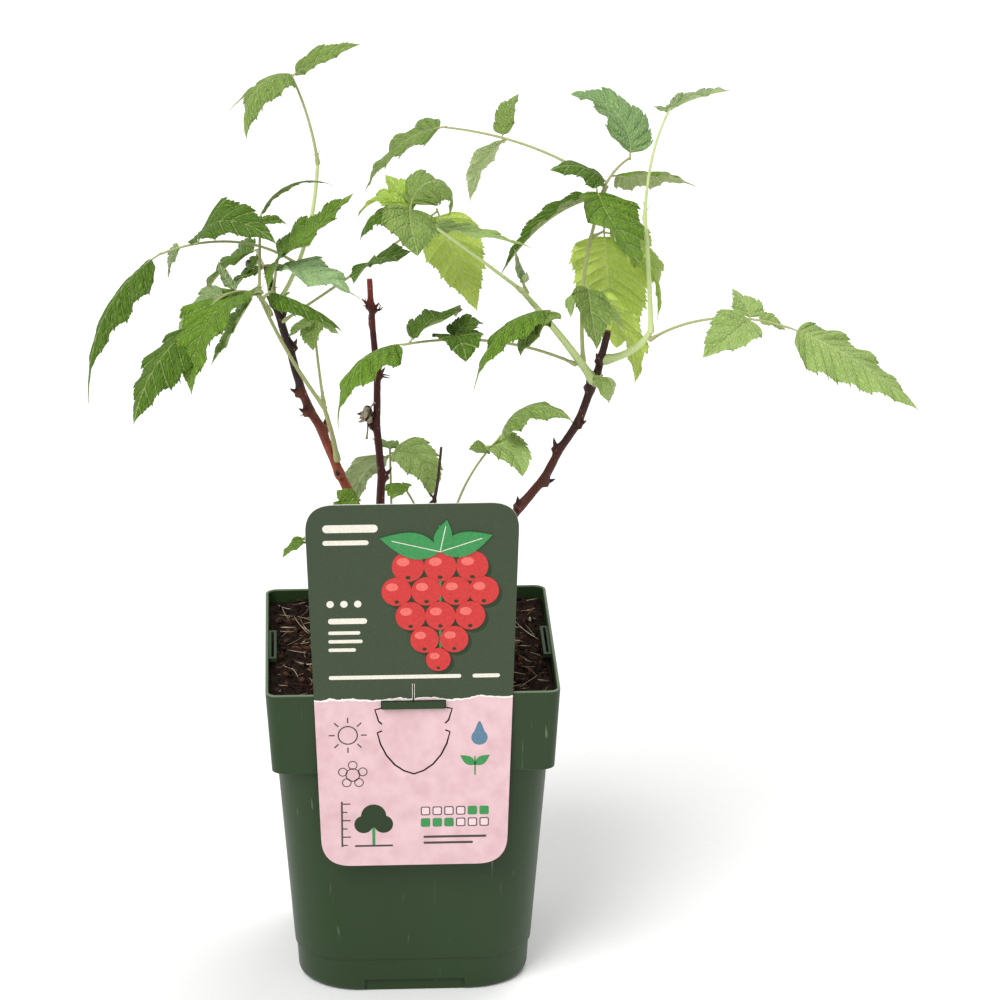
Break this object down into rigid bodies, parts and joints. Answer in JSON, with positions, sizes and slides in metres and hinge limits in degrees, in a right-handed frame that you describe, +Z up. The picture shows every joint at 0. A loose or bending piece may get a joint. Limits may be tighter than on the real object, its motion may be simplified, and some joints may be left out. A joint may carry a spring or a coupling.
{
  "type": "raspberry cane in a pot",
  "caption": "Young raspberry cane with toothed compound leaves in a square green nursery pot of dark compost, with a hanging plant label.",
  "frame": {"origin": "middle of the pot's flat underside", "axes": "+X to the right as seen from the label side, +Y away from the label side, +Z up along the canes"},
  "size_m": [0.3634, 0.1738, 0.4243],
  "materials": {
    "pot_plastic": "moulded",
    "compost": "moist peat compost",
    "label_card": "printed",
    "bark": "smooth bark",
    "green_stem": "fine hairs",
    "foliage": "satin leaf"
  },
  "bodies": {
    "root": {"pot": "pot_plastic", "soil": "compost", "label": "label_card", "cane_left": "bark", "cane_middle": "bark", "cane_right": "bark", "cane_stub": "bark", "shoot_left": "green_stem", "shoot_fork": "green_stem", "shoot_crest": "green_stem", "shoot_front": "green_stem", "shoot_right": "green_stem", "shoot_tall": "green_stem", "shoot_back": "green_stem", "leaf_crest": "foliage", "leaf_arching": "foliage", "leaf_folded": "foliage", "leaf_far_left": "foliage", "leaf_near_left": "foliage", "leaf_back_left": "foliage", "leaf_front_left": "foliage", "leaf_star": "foliage", "leaf_high_back": "foliage", "leaf_front_crown": "foliage", "leaf_centre": "foliage", "leaf_young_pair": "foliage", "leaf_right_top": "foliage", "leaf_right_front": "foliage", "leaf_right_big": "foliage", "leaf_right_low": "foliage", "leaf_behind_cane": "foliage", "leaf_drooping": "foliage", "leaf_top_right": "foliage", "leaf_far_right": "foliage", "leaf_mid_front": "foliage", "leaf_low_right": "foliage", "leaf_low_middle": "foliage", "leaf_low_arch": "foliage", "leaf_left_foot": "foliage", "leaf_low_left": "foliage", "leaf_node_tuft": "foliage", "leaf_bud_tuft": "foliage", "leaf_low_back": "foliage", "leaf_low_behind": "foliage"}
  },
  "joints": []
}
